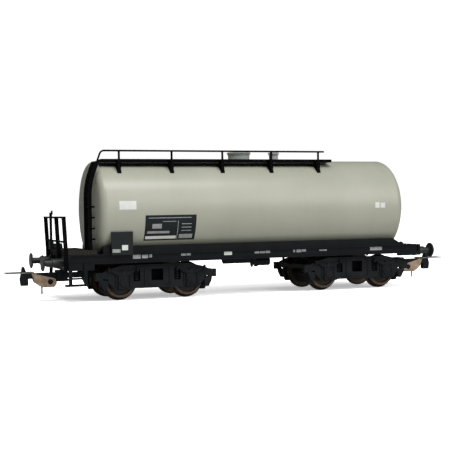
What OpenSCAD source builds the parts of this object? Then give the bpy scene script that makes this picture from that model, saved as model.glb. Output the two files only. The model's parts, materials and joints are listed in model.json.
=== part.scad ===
// A 1:87 model of a four-axle light tank wagon, in millimetres.
// X runs along the wagon, Z is up, and Z = 0 is the floor under the wheel flanges.
// X = 0 lies midway between the buffer faces. End "a" (-X) has the brakeman's platform,
// end "b" (+X) is plain. The right side is -Y and the left side is +Y.

/* [Running gear] */
// Distance between the two bogie pivots
pivot_spacing = 73.6; // [61:0.1:78]
// How far the middle of the pivots lies from the middle of the wagon
pivot_shift = 2.4; // [0:0.1:4]
// Distance between the two axles of a bogie
wheelbase = 23; // [19.1:0.1:27]
// Radius of the wheel tread
tread_r = 5.2; // [4.3:0.05:5.3]
// Height of the wheel flange over the tread
flange_h = 0.82; // [0.5:0.01:1]
// Distance between the backs of the two wheels of an axle
back_to_back = 14.4; // [14:0.05:14.8]
// Width of a wheel over tread and flange
wheel_w = 2.8; // [2.4:0.05:3]
// Radius of an axle
axle_r = 0.95; // [0.7:0.05:1.1]
// Distance between the inner faces of the bogie's side frames
side_frame_gap = 22.8; // [22.2:0.1:24]
// Thickness of a bogie side frame
side_frame_t = 1.8; // [1.4:0.1:2.2]

/* [Tank] */
// Radius of the barrel
tank_r = 16.6; // [13.8:0.1:20]
// Length of the straight barrel between its end seams
barrel_l = 105.3; // [87.7:0.1:107]
// How far the middle of the barrel lies from the middle of the wagon
barrel_shift = 1.4; // [0:0.1:2]
// Height of the barrel's lowest line, which rests on the centre sill
tank_bottom_z = 12.56; // [12.5:0.01:13]
// Crown radius of the dished ends
crown_r = 95; // [60:1:110]
// Knuckle radius of the dished ends
knuckle_r = 2.4; // [1.5:0.1:4]

/* [Domes] */
// Radius of the manhole dome
manhole_r = 4.15; // [3:0.05:5]
// Place of the manhole dome along the wagon
manhole_x = 0.2; // [-4:0.1:4]
// Radius of the valve dome
valve_dome_r = 2; // [1.4:0.05:2.6]
// Place of the valve dome along the wagon
valve_dome_x = 13.5; // [9:0.1:18]
// Height of both domes over the top of the barrel
dome_h = 3.4; // [2:0.1:5]

/* [Underframe] */
// Length over the outer faces of the headstocks
headstock_span = 128; // [126:0.1:154]
// Width over the solebars
frame_w = 30; // [29.6:0.1:36]
// Height of the lower edge of the solebars
solebar_z = 12.3; // [12.25:0.01:12.4]
// Height of a solebar
solebar_h = 3.1; // [2.6:0.1:3.6]
// Thickness of a headstock
headstock_t = 0.8; // [0.5:0.1:1.2]
// Width of the centre sill
sill_w = 7; // [5:0.1:8]
// Height of the pads under the centre sill, which rest on the bogies
sill_z = 11; // [10.6:0.1:11.6]
// Height of the tank cradles over the solebars
cradle_h = 2.4; // [1.5:0.1:3]

/* [Buffers and couplers] */
// Length of a buffer, from the headstock to its face
buffer_l = 7.45; // [6.5:0.05:9]
// Distance between the two buffers of an end
buffer_spacing = 20.1; // [19:0.1:21]
// Height of the buffers' axis
buffer_z = 12.98; // [12.5:0.01:13.4]
// Radius of a buffer head
buffer_r = 2.6; // [2:0.05:3]
// Distance from the headstock's face to the lever's pivot
lever_out = 3.1; // [2.6:0.1:4]
// Height of the lever's pivot
lever_z = 6.5; // [6:0.1:6.8]
// Distance from the lever's pivot to the far end of the wire loop
loop_reach = 14.3; // [13.8:0.1:16]
// Clear width inside the wire loop
loop_w = 4.8; // [4.4:0.1:6]

/* [Fittings] */
// Width of the walkway board
walkway_w = 4.6; // [3.5:0.1:5.5]
// Length of the walkway board
walkway_l = 83.4; // [70:0.1:86]
// Height of the handrail's axis over the walkway board
handrail_h = 2.75; // [2:0.05:5]
// Distance between two handrail posts
post_pitch = 17.9; // [14:0.1:18.5]
// Height of the platform railing over the deck
railing_h = 10.9; // [8:0.1:13]
// Distance between the ladder's rails
ladder_w = 5.6; // [4.5:0.1:7]
// Height of the footsteps' tread over the floor
step_z = 5.5; // [4.5:0.1:7]

/* [Hidden] */
$fn = 64;

TANK_GREY = [0.72, 0.73, 0.67];
FRAME_BLACK = [0.1, 0.11, 0.12];
BOGIE_BLACK = [0.13, 0.14, 0.15];
DECK_BROWN = [0.2, 0.17, 0.15];
WHEEL_BROWN = [0.3, 0.22, 0.17];
LEVER_TAN = [0.62, 0.5, 0.36];

// Sides and ends as signs
RIGHT = -1;
LEFT = 1;
END_A = -1;
END_B = 1;
OUTER = 1;
INNER = -1;

// Clearances
seat_gap = 0.05;
run_gap = 0.07;
press_gap = 0.01;

// How far a weld stands proud of a round bar
weld = 0.04;

// Running gear
pivot_a_x = -pivot_spacing / 2 + pivot_shift;
pivot_b_x = pivot_spacing / 2 + pivot_shift;
flange_r = tread_r + flange_h;
axle_z = flange_r;
flange_w = 0.9;
hub_r = 1.9;
web_dish = 0.7;
rim_inner_r = tread_r - 0.95;
frame_in_y = side_frame_gap / 2;
frame_out_y = frame_in_y + side_frame_t;
journal_r = axle_r;
bearing_depth = 1.3;
screw_r = 1.5;
screw_head_r = 2.6;
screw_head_t = 1;

// Bogie
bogie_top_z = 11.6;
bogie_bottom_z = 4;
guard_bottom_z = 3.6;
bolster_gap = 0.1;
bolster_w = 6.4;
bolster_top_z = sill_z - bolster_gap;
spine_w = 5.2;
spine_z = axle_z + axle_r + 0.6;
spine_t = 1.6;
bogie_end = wheelbase / 2 + 5.1;
window_w = 4;
window_h = 3.8;
window_z = 6.3;
spring_window_w = 2.2;
spring_window_x = wheelbase / 2 - 4.6;
axlebox_w = 3.4;
axlebox_h = 4.2;
axlebox_out = 0.7;
axlebox_lid_r = 1.25;
axlebox_lid_t = 0.3;
shoe_gap = 0.3;
shoe_t = 1.4;
shoe_y = back_to_back / 2 + flange_w + 0.25;
shoe_w = 1.6;
shoe_reach = 0.8 * tread_r;
shoe_drop = 0.65 * tread_r;
shoe_arm_in = 1;
shoe_arm_h = 0.6;
beam_x = wheelbase / 2 + flange_r + 0.6;
beam_l = 1.5;
beam_z = 7.9;
beam_h = 1.5;
beam_block_h = 2.6;
beam_block_w = 1.8;

// Tank
barrel_a_x = barrel_shift - barrel_l / 2;
barrel_b_x = barrel_shift + barrel_l / 2;
crown_sin = (tank_r - knuckle_r) / (crown_r - knuckle_r);
dish_h = crown_r - (crown_r - knuckle_r) * sqrt(1 - pow(crown_sin, 2));
crown_join_r = crown_r * crown_sin;
tank_axis_z = tank_bottom_z + tank_r;
tank_top_z = tank_axis_z + tank_r;
dome_lid_t = 0.7;
dome_lip = 0.35;

// Underframe
headstock_x = headstock_span / 2;
frame_y = frame_w / 2;
flange_out = 0.5;
web_t = 0.4;
web_y = frame_y - flange_out;
floor_y = web_y - web_t;
floor_z = 12.6;
flange_t = 0.4;
solebar_top_z = solebar_z + solebar_h;
sill_top_z = solebar_top_z - 2;
sill_bottom_z = floor_z - 0.5;
pad_l = 7;
end_depth_a = 1.9;
end_depth_b = 0.8;
gusset_a_l = 8.4;
gusset_b_l = 9.2;
cradle_top_z = solebar_top_z + cradle_h;
cradle_y = web_y;
cradle_a_x = barrel_a_x - 1.4;
cradle_b_x = barrel_b_x - 1;
cradle_slope_l = 4;
deck_t = 1.3;
deck_top_z = solebar_top_z + deck_t;
deck_a_x = -headstock_x;
deck_l = barrel_a_x - 3.35 - deck_a_x;

// Under the floor, between the bogies
gear_y = -9.5;
reservoir_x = -9.9;
reservoir_l = 9.5;
reservoir_r = 1.8;
cylinder_x = 1.6;
cylinder_l = 5.2;
cylinder_r = 1.5;
brake_lever_x = -0.3;
brake_lever_t = 0.7;
brake_lever_w = 1.5;
brake_lever_z = 9.2;

// Buffers and couplers
head_t = 0.45;
head_edge = 0.2;
sleeve_l = 4.2;
sleeve_r = 1.4;
plunger_r = 1.05;
base_r = 1.9;
base_t = 0.6;
pocket_w = 4.8;
pocket_l = 3.4;
pocket_out = 0.9;
pocket_z = 6.5;
pocket_h = 3.6;
shank_w = 2.2;
shank_z = 7.6;
shank_h = 1.8;
head_out = 9.9;
head_w = 2;
lug_l = 3.3;
lug_z = 5.6;
lever_pin_r = 0.8;
lever_t = 0.5;
lever_gap = 0.15;
lever_in_y = shank_w / 2 + lever_gap;
lever_out_y = lever_in_y + lever_t;
web_z = -1.8;
web_thick = 0.4;
tail_x = 2.5;
tail_r = 0.3;
tail_z = 2.5;
wire_r = 0.2;
wire_x = 5.4;
wire_z = shank_z + shank_h + wire_r + seat_gap;
loop_y = loop_w / 2 + wire_r;

// Walkway, handrail and ladder
walkway_t = 0.8;
walkway_gap = 0.235;
walkway_top_z = tank_top_z + 0.04;
walkway_z = walkway_top_z - walkway_t;
walkway_in_y = tank_y_at(walkway_z) + walkway_gap;
walkway_out_y = walkway_in_y + walkway_w;
walkway_x = barrel_a_x - 0.65;
bearer_y = walkway_out_y - 1.5;
bearer_w = 0.7;
bearer_h = 0.7;
bearer_short = 5.4;
bearer_z = tank_axis_z + sqrt(pow(tank_r, 2) - pow(bearer_y - bearer_w / 2, 2)) + seat_gap;
post_count = 5;
post_x = walkway_x + 5.9;
post_r = 0.36;
post_w = 1.1;
post_y = walkway_out_y + 1.2;
foot_w = 1.3;
foot_t = 0.5;
foot_in_y = walkway_out_y - 1.1;
handrail_r = 0.3;
handrail_z = walkway_top_z + handrail_h;
handrail_over = 2.2;
handrail_bend_r = 1.6;
handrail_turn = 70;
ladder_x = barrel_a_x - dish_h - 1.35;
ladder_y = walkway_in_y + 3.9;
ladder_rail_w = 1.2;
ladder_rail_t = 0.6;
ladder_bend_z = tank_axis_z + 3.84;
ladder_top_z = walkway_z + 0.2;
ladder_lean = dish_h - 0.6;
ladder_rise = ladder_top_z - ladder_bend_z;
ladder_bend_r = (pow(ladder_rise, 2) + pow(ladder_lean, 2)) / (2 * ladder_lean);
rung_r = 0.22;
rung_pitch = 3.45;
rung_count = floor((ladder_top_z - deck_top_z) / rung_pitch);
rung_over = 0.5;

// Platform
railing_w = 1.2;
railing_x = deck_a_x - railing_w / 2;
railing_t = 0.9;
railing_lean = 0.55;
railing_post_ys = [0.5 - frame_y, -3.1, frame_y - 0.5];
railing_feet_z = [solebar_z - end_depth_a, solebar_z, solebar_z - end_depth_a];
railing_top_z = deck_top_z + railing_h;
rail_t = 0.6;
mid_rail_z = deck_top_z + 2.6;
column_y = 8.4;
column_r = 0.45;
gearbox_w = 3.4;
gearbox_l = railing_w;
gearbox_h = 3;
gearbox_low_l = 2.9;
gearbox_low_h = 1.9;
crank_z = railing_top_z + 1.3;
crank_arm = [0, -1.9, 0];
crank_back = -0.43 * crank_arm;
crank_grip = 1.1;
crank_r = 0.3;

// Footsteps and sign plates
step_l = 7.2;
step_x = deck_a_x - 0.8;
step_t = 0.6;
step_in_y = 12.9;
step_strap_w = 1.1;
step_strap_t = 0.5;
step_strap_xs = [0.8, 5.7];
step_bar_z = step_z + 2.2;
plate_x = barrel_a_x + 1.1;
plate_w = 7.1;
plate_h = 7.4;
plate_t = 0.3;
plate_gap = 0.3;
plate_tank_gap = 0.12;
plate_z = solebar_top_z - flange_t;
plate_y = max(frame_y + plate_gap, tank_y_at(plate_z + plate_h) + plate_tank_gap);
plate_lug_w = 0.8;

// Half of the barrel's width at a height
function tank_y_at(z) = sqrt(pow(tank_r, 2) - pow(z - tank_axis_z, 2));

// A round bar from one point to another
module rod(from, to, r) {
    span = to - from;
    translate(from)
        rotate([0, acos(span[2] / norm(span)), atan2(span[1], span[0])])
        cylinder(h = norm(span), r = r);
}

// A round bar through a row of points
module bent_rod(points, r) {
    for (i = [1 : len(points) - 1]) rod(points[i - 1], points[i], r);
    for (i = [1 : len(points) - 2]) translate(points[i]) sphere(r);
}

// A flat shape drawn in X and Z, made solid from Y = y to Y = y + t
module slab(y, t) {
    translate([0, y + t, 0]) rotate([90, 0, 0]) linear_extrude(t) children();
}

// Puts a piece drawn outwards from a headstock's face at that end
module at_end(end) {
    rotate([0, 0, end == END_A ? 180 : 0]) translate([headstock_x, 0, 0]) children();
}

// The space that the barrel takes, with its seat clearance
module barrel_space() {
    translate([barrel_a_x - dish_h - seat_gap, 0, tank_axis_z])
        rotate([0, 90, 0])
        cylinder(r = tank_r + seat_gap, h = barrel_l + 2 * (dish_h + seat_gap));
}

// ---- Tank ----

// Half outline of one dished end, from the seam outwards
module dish_outline() {
    translate([tank_r - knuckle_r, 0]) circle(knuckle_r);
    intersection() {
        translate([0, dish_h - crown_r]) circle(crown_r);
        square([crown_join_r, dish_h]);
    }
}

module tank_barrel() {
    color(TANK_GREY)
        translate([barrel_a_x, 0, tank_axis_z])
        rotate([0, 90, 0])
        rotate_extrude() {
            square([tank_r, barrel_l]);
            translate([0, barrel_l]) dish_outline();
            mirror([0, 1]) dish_outline();
        }
}

// A dome that stands on the barrel, with a lid
module dome(x, r) {
    color(TANK_GREY) {
        difference() {
            translate([x, 0, tank_axis_z]) cylinder(r = r, h = tank_r + dome_h - dome_lid_t);
            barrel_space();
        }
        translate([x, 0, tank_top_z + dome_h - dome_lid_t]) cylinder(r = r + dome_lip, h = dome_lid_t);
    }
}

// ---- Walkway ----

function post_at(i) = post_x + i * post_pitch;

module walkway() {
    color(FRAME_BLACK) {
        translate([walkway_x, -walkway_out_y, walkway_z]) cube([walkway_l, walkway_w, walkway_t]);
        translate([walkway_x, -bearer_y - bearer_w / 2, bearer_z])
            cube([walkway_l - bearer_short, bearer_w, bearer_h]);
        for (i = [0 : post_count - 1])
            translate([post_at(i) - bearer_w / 2, -bearer_y - bearer_w / 2, bearer_z])
                cube([bearer_w, bearer_w, walkway_z - bearer_z + walkway_t / 2]);
    }
}

// Five posts, each on a foot that lies on the barrel
module handrail_posts() {
    foot_z = tank_axis_z + sqrt(pow(tank_r + foot_t, 2) - pow(post_y, 2)) - foot_t / 2;
    color(FRAME_BLACK)
        for (i = [0 : post_count - 1]) {
            intersection() {
                translate([post_at(i) - foot_w / 2, 0, tank_axis_z]) rotate([0, 90, 0]) difference() {
                    cylinder(r = tank_r + seat_gap + foot_t, h = foot_w);
                    translate([0, 0, -foot_w]) cylinder(r = tank_r + seat_gap, h = 3 * foot_w);
                }
                translate([post_at(i) - foot_w, -post_y - foot_t, tank_axis_z])
                    cube([2 * foot_w, post_y + foot_t - foot_in_y, 2 * tank_r]);
            }
            translate([post_at(i) - post_w / 2, -post_y - post_r, foot_z])
                cube([post_w, 2 * post_r, walkway_top_z - foot_z]);
            translate([post_at(i), -post_y, walkway_z])
                cylinder(r = post_r, h = handrail_z - handrail_r - walkway_z);
        }
}

// A bar along the posts, which bends down at the ladder's end to the ladder's near rail
module handrail() {
    end_x = post_at(post_count - 1) + handrail_over;
    leg_z = handrail_z - handrail_bend_r * (1 - cos(handrail_turn));
    leg_l = (leg_z - ladder_top_z) / sin(handrail_turn);
    bend_x = ladder_at(ladder_top_z) + leg_l * cos(handrail_turn) + handrail_bend_r * sin(handrail_turn);
    color(FRAME_BLACK) {
        translate([bend_x, -post_y, handrail_z]) rotate([0, 90, 0])
            cylinder(r = handrail_r, h = end_x - bend_x);
        translate([bend_x, -post_y, handrail_z - handrail_bend_r]) rotate([90, 0, 0]) rotate([0, 0, 90])
            rotate_extrude(angle = handrail_turn) translate([handrail_bend_r, 0]) circle(handrail_r);
        translate([bend_x - handrail_bend_r * sin(handrail_turn), -post_y, leg_z]) {
            sphere(handrail_r + weld);
            rotate([0, 270 - handrail_turn, 0]) cylinder(r = handrail_r, h = leg_l - seat_gap);
        }
    }
}

// The ladder stands on the deck and bends over the tank's shoulder
function ladder_at(z) = z < ladder_bend_z
    ? ladder_x
    : ladder_x + ladder_bend_r - sqrt(pow(ladder_bend_r, 2) - pow(z - ladder_bend_z, 2));

module ladder_rail() {
    translate([ladder_x - ladder_rail_w / 2, deck_top_z])
        square([ladder_rail_w, ladder_bend_z - deck_top_z]);
    intersection() {
        translate([ladder_x + ladder_bend_r, ladder_bend_z]) difference() {
            circle(ladder_bend_r + ladder_rail_w / 2);
            circle(ladder_bend_r - ladder_rail_w / 2);
        }
        translate([ladder_x - ladder_rail_w, ladder_bend_z])
            square([ladder_bend_r / 2, ladder_top_z - ladder_bend_z]);
    }
}

module end_ladder() {
    near_y = -ladder_y - ladder_w / 2;
    far_y = -ladder_y + ladder_w / 2;
    color(FRAME_BLACK) {
        for (y = [near_y, far_y]) slab(y - ladder_rail_t / 2, ladder_rail_t) ladder_rail();
        for (i = [1 : rung_count]) {
            z = deck_top_z + i * rung_pitch;
            rod([ladder_at(z), near_y - rung_over, z], [ladder_at(z), far_y, z], rung_r);
        }
    }
}

// ---- Underframe ----

module chassis_floor() {
    color(FRAME_BLACK) difference() {
        translate([-headstock_x + headstock_t, -floor_y, floor_z])
            cube([headstock_span - 2 * headstock_t, 2 * floor_y, solebar_top_z - floor_z]);
        barrel_space();
        translate([-headstock_x, -sill_w / 2, floor_z - 1])
            cube([headstock_span, sill_w, sill_top_z - floor_z + 1]);
    }
}

// The sill fills the slot in the floor, with a pad over each bogie
module centre_sill() {
    color(FRAME_BLACK) slab(-sill_w / 2, sill_w) polygon([
        [headstock_t - headstock_x, sill_top_z],
        [headstock_t - headstock_x, sill_bottom_z],
        [pivot_a_x - pad_l / 2, sill_bottom_z],
        [pivot_a_x - pad_l / 2, sill_z],
        [pivot_a_x + pad_l / 2, sill_z],
        [pivot_a_x + pad_l / 2, sill_bottom_z],
        [pivot_b_x - pad_l / 2, sill_bottom_z],
        [pivot_b_x - pad_l / 2, sill_z],
        [pivot_b_x + pad_l / 2, sill_z],
        [pivot_b_x + pad_l / 2, sill_bottom_z],
        [headstock_x - headstock_t, sill_bottom_z],
        [headstock_x - headstock_t, sill_top_z],
        [barrel_b_x + dish_h + seat_gap, sill_top_z],
        [barrel_b_x + dish_h + seat_gap, tank_bottom_z - seat_gap],
        [barrel_a_x - dish_h - seat_gap, tank_bottom_z - seat_gap],
        [barrel_a_x - dish_h - seat_gap, sill_top_z]
    ]);
}

module solebar(side) {
    l = headstock_span - 2 * headstock_t;
    color(FRAME_BLACK) translate([-l / 2, 0, solebar_z]) {
        translate([0, side == RIGHT ? -web_y : floor_y, 0]) cube([l, web_t, solebar_h]);
        for (z = [0, solebar_h - flange_t])
            translate([0, side == RIGHT ? -frame_y : floor_y, z]) cube([l, flange_out + web_t, flange_t]);
    }
}

// An end beam with the two deep plates that stiffen the solebars' ends
module headstock(end) {
    depth = end == END_A ? end_depth_a : end_depth_b;
    gusset_l = end == END_A ? gusset_a_l : gusset_b_l;
    color(FRAME_BLACK) at_end(end) {
        translate([-headstock_t, -frame_y, solebar_z - depth])
            cube([headstock_t, frame_w, solebar_h + depth]);
        for (y = [-frame_y, floor_y])
            translate([-gusset_l, y, solebar_z - depth]) cube([gusset_l, flange_out + web_t, depth]);
    }
}

module cradle(side) {
    color(FRAME_BLACK) difference() {
        slab(side == RIGHT ? -cradle_y : 0, cradle_y) polygon([
            [cradle_a_x, solebar_top_z],
            [cradle_a_x, cradle_top_z],
            [cradle_b_x, cradle_top_z],
            [cradle_b_x + cradle_slope_l, solebar_top_z]
        ]);
        barrel_space();
        translate([-headstock_x, -tank_r / 2, 0]) cube([headstock_span, tank_r, tank_axis_z]);
    }
}

module air_reservoir() {
    color(FRAME_BLACK) intersection() {
        translate([reservoir_x, gear_y, floor_z - 0.2]) rotate([0, 90, 0])
            cylinder(r = reservoir_r, h = reservoir_l);
        translate([reservoir_x, gear_y - reservoir_r, floor_z - 2 * reservoir_r])
            cube([reservoir_l, 2 * reservoir_r, 2 * reservoir_r]);
    }
}

module brake_cylinder() {
    color(FRAME_BLACK) intersection() {
        translate([cylinder_x, gear_y, floor_z - cylinder_r]) rotate([0, 90, 0]) {
            cylinder(r = cylinder_r, h = cylinder_l);
            cylinder(r = cylinder_r + 0.3, h = 0.8);
        }
        translate([cylinder_x, gear_y - 2 * cylinder_r, floor_z - 3 * cylinder_r])
            cube([cylinder_l, 4 * cylinder_r, 3 * cylinder_r]);
    }
}

module brake_lever() {
    color(FRAME_BLACK) translate([brake_lever_x, 0, 0])
        slab(gear_y - brake_lever_t / 2, brake_lever_t) polygon([
            [0, floor_z],
            [brake_lever_w, floor_z],
            [0.7 * brake_lever_w, brake_lever_z],
            [0.3 * brake_lever_w, brake_lever_z]
        ]);
}

// ---- Platform ----

module platform_deck() {
    color(DECK_BROWN) translate([deck_a_x, -frame_y, solebar_top_z]) cube([deck_l, frame_w, deck_t]);
}

// Middle of the leaning railing at a height
function railing_at(z) = railing_x - railing_lean * (z - deck_top_z) / railing_h;

// Three posts on the headstock's face, with rails that end at the gearbox and the column
module platform_railing() {
    color(FRAME_BLACK) difference() {
        union() {
            for (i = [0 : len(railing_post_ys) - 1])
                slab(railing_post_ys[i] - railing_t / 2, railing_t) polygon([
                    [railing_x + railing_w / 2, railing_feet_z[i]],
                    [railing_x + railing_w / 2, deck_top_z],
                    [railing_at(railing_top_z) + railing_w / 2, railing_top_z],
                    [railing_at(railing_top_z) - railing_w / 2, railing_top_z],
                    [railing_x - railing_w / 2, deck_top_z],
                    [railing_x - railing_w / 2, railing_feet_z[i]]
                ]);
            for (z = [mid_rail_z, railing_top_z - rail_t])
                translate([railing_at(z) - rail_t / 2, railing_post_ys[0], z])
                    cube([rail_t, railing_post_ys[2] - railing_post_ys[0], rail_t]);
        }
        translate([railing_x, column_y, deck_top_z]) cylinder(r = column_r + seat_gap, h = railing_h + 1);
        gearbox_space();
    }
}

// The space that the gearbox takes, with its clearance
module gearbox_space() {
    translate([railing_x - 2 * railing_w, column_y - gearbox_w / 2 - seat_gap, deck_top_z])
        cube([4 * railing_w, gearbox_w + 2 * seat_gap, gearbox_h + seat_gap]);
}

// A gearbox with a rounded top, which stands on the deck's edge and carries the handbrake's column
module handbrake_gearbox() {
    module lobe(x, l, h) {
        intersection() {
            union() {
                translate([x, column_y - gearbox_w / 2, deck_top_z])
                    cube([l, gearbox_w, h - gearbox_w / 2]);
                translate([x, column_y, deck_top_z + h - gearbox_w / 2]) rotate([0, 90, 0])
                    cylinder(r = gearbox_w / 2, h = l);
            }
            translate([x, column_y - gearbox_w, deck_top_z]) cube([l, 2 * gearbox_w, h]);
        }
    }
    color(FRAME_BLACK) {
        lobe(railing_x - railing_w / 2, gearbox_l, gearbox_h);
        lobe(railing_x - railing_w / 2 + gearbox_l, gearbox_low_l, gearbox_low_h);
    }
}

module handbrake_column() {
    color(FRAME_BLACK) translate([railing_x, column_y, 0]) {
        translate([0, 0, deck_top_z + gearbox_h]) cylinder(r = column_r, h = crank_z - deck_top_z - gearbox_h);
        translate([0, 0, crank_z - column_r])
            bent_rod([crank_back, crank_arm, crank_arm + [0, 0, crank_grip]], crank_r);
    }
}

module footstep(side) {
    outer_y = frame_y + step_strap_t;
    color(FRAME_BLACK) {
        translate([step_x, side == RIGHT ? -outer_y : step_in_y, step_z])
            cube([step_l, outer_y - step_in_y, step_t]);
        for (x = step_strap_xs)
            translate([step_x + x, side == RIGHT ? -outer_y : frame_y, step_z])
                cube([step_strap_w, step_strap_t, solebar_z + flange_t - step_z]);
        translate([step_x + step_strap_xs[0], side == RIGHT ? -outer_y : frame_y, step_bar_z])
            cube([step_strap_xs[1] - step_strap_xs[0], step_strap_t, step_t]);
    }
}

// A plate held off the solebar by two lugs
module sign_plate(side) {
    color(FRAME_BLACK) {
        translate([plate_x, side == RIGHT ? -plate_y - plate_t : plate_y, plate_z])
            cube([plate_w, plate_t, plate_h]);
        for (x = [plate_lug_w, plate_w - 2 * plate_lug_w])
            translate([plate_x + x, side == RIGHT ? -plate_y : frame_y, plate_z])
                cube([plate_lug_w, plate_y - frame_y, flange_t]);
    }
}

// ---- Buffers and couplers ----

module buffer(end, side) {
    color(FRAME_BLACK)
        at_end(end)
        translate([0, end * side * buffer_spacing / 2, buffer_z])
        rotate([0, 90, 0])
        rotate_extrude()
        polygon([
            [0, 0],
            [base_r, 0],
            [base_r, base_t],
            [sleeve_r, base_t],
            [sleeve_r, sleeve_l],
            [plunger_r, sleeve_l],
            [plunger_r, buffer_l - 2 * head_t],
            [buffer_r - head_edge, buffer_l - head_t - head_edge],
            [buffer_r, buffer_l - head_t],
            [buffer_r, buffer_l - head_edge],
            [buffer_r - head_edge, buffer_l],
            [0, buffer_l]
        ]);
}

// The black coupler hook: a shank with a lug for the lever's pin, and an upright head
module coupler_hook(end) {
    color(FRAME_BLACK) at_end(end) {
        translate([pocket_out, -shank_w / 2, shank_z]) cube([head_out - pocket_out + 0.5, shank_w, shank_h]);
        translate([pocket_out, -shank_w / 2, lug_z]) cube([lug_l, shank_w, shank_z - lug_z]);
        translate([lever_out, lever_out_y + lever_gap, lever_z]) rotate([90, 0, 0])
            cylinder(r = lever_pin_r, h = 2 * (lever_out_y + lever_gap));
        translate([head_out, 0, 0]) slab(-head_w / 2, head_w) polygon([
            [0.2, 5.4],
            [2.5, 5.4],
            [2.8, 7.6],
            [2.4, 9.2],
            [2, 11.5],
            [1.4, 11.5],
            [0.7, 9.4],
            [0, 9.4],
            [0, 7.6],
            [0.2, 7.6]
        ]);
    }
}

// The tan lever, drawn from its pivot: two cheeks, a web under them, a stop bar and a tail
module coupler_lever(end) {
    color(LEVER_TAN) at_end(end) translate([lever_out, 0, lever_z]) {
        for (y = [-lever_out_y, lever_in_y]) difference() {
            slab(y, lever_t) polygon([
                [-1.8, -1.2],
                [-1.8, 0.8],
                [-1.3, 1.1],
                [4.3, 2.5],
                [5.8, 3.5],
                [6, 2.6],
                [4.9, -0.2],
                [2.9, -1.6],
                [1.9, -1.8],
                [-1.2, -1.8]
            ]);
            translate([0, y + 2 * lever_t, 0]) rotate([90, 0, 0])
                cylinder(r = lever_pin_r + run_gap, h = 3 * lever_t);
        }
        translate([-1.2, -lever_out_y, web_z]) cube([3.8, 2 * lever_out_y, web_thick]);
        translate([wire_x, lever_out_y, wire_z - lever_z]) rotate([90, 0, 0])
            cylinder(r = wire_r, h = 2 * lever_out_y);
        translate([tail_x, 0, tail_z - lever_z]) cylinder(r = tail_r, h = lever_z + web_z - tail_z + web_thick / 2);
    }
}

// The wire loop on the lever's front end
module coupler_loop(end) {
    color(WHEEL_BROWN) at_end(end) translate([lever_out, 0, wire_z])
        bent_rod([
            [wire_x, -lever_out_y, 0],
            [wire_x, -loop_y, 0],
            [loop_reach - wire_r, -loop_y, 0],
            [loop_reach - wire_r, loop_y, 0],
            [wire_x, loop_y, 0],
            [wire_x, lever_out_y, 0]
        ], wire_r);
}

// ---- Bogies ----

function pivot_x(end) = end == END_A ? pivot_a_x : pivot_b_x;

module pivot_screw(end) {
    color(WHEEL_BROWN) translate([pivot_x(end), 0, 0]) {
        translate([0, 0, spine_z - run_gap]) cylinder(r = screw_r, h = sill_z - spine_z + run_gap);
        translate([0, 0, spine_z - run_gap - screw_head_t]) cylinder(r = screw_head_r, h = screw_head_t);
    }
}

// Half of a side frame's outline, from its middle to one end
function frame_half(s) = [
    [s * (wheelbase / 2 - 4.1), bogie_bottom_z],
    [s * (wheelbase / 2 - 2.6), guard_bottom_z],
    [s * (wheelbase / 2 + 2.6), guard_bottom_z],
    [s * (bogie_end - 0.2), 6.2],
    [s * (bogie_end - 0.2), 7.2],
    [s * beam_x, 7.4],
    [s * beam_x, 9.5],
    [s * (bogie_end - 0.4), 10.4],
    [s * wheelbase / 2, bogie_top_z]
];

function reversed(list) = [for (i = [len(list) - 1 : -1 : 0]) list[i]];

module side_frame(end, side) {
    color(BOGIE_BLACK) translate([pivot_x(end), 0, 0]) difference() {
        union() {
            slab(side == RIGHT ? -frame_out_y : frame_in_y, side_frame_t)
                polygon(concat(frame_half(1), reversed(frame_half(-1))));
            for (x = [-wheelbase / 2, wheelbase / 2]) {
                translate([x - axlebox_w / 2, side == RIGHT ? -frame_out_y - axlebox_out : frame_in_y,
                           axle_z - axlebox_h / 2])
                    cube([axlebox_w, side_frame_t + axlebox_out, axlebox_h]);
                translate([x, side * (frame_out_y + axlebox_out), axle_z]) rotate([-90 * side, 0, 0])
                    cylinder(r = axlebox_lid_r, h = axlebox_lid_t);
            }
        }
        translate([-window_w / 2, -2 * frame_out_y, window_z]) cube([window_w, 4 * frame_out_y, window_h]);
        for (x = [-spring_window_x, spring_window_x])
            translate([x - spring_window_w / 2, -2 * frame_out_y, window_z])
                cube([spring_window_w, 4 * frame_out_y, window_h]);
        for (x = [-wheelbase / 2, wheelbase / 2])
            translate([x, side * frame_in_y, axle_z]) rotate([90, 0, 0])
                cylinder(r = journal_r + run_gap, h = 2 * bearing_depth, center = true);
    }
}

// The cross-beam, the spine over the axles and the coupler's pocket
module bogie_bolster(end) {
    outer_x = headstock_x + pocket_out;
    pivot = end * pivot_x(end);
    color(BOGIE_BLACK) rotate([0, 0, end == END_A ? 180 : 0]) difference() {
        union() {
            translate([pivot - bolster_w / 2, -frame_in_y, spine_z])
                cube([bolster_w, side_frame_gap, bolster_top_z - spine_z]);
            translate([pivot - beam_x - beam_l, -spine_w / 2, spine_z])
                cube([outer_x - pivot + beam_x + beam_l - pocket_l / 2, spine_w, spine_t]);
            translate([outer_x - pocket_l, -pocket_w / 2, pocket_z]) cube([pocket_l, pocket_w, pocket_h]);
        }
        translate([pivot, 0, 0]) cylinder(r = screw_r + run_gap, h = tank_axis_z);
    }
}

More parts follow.
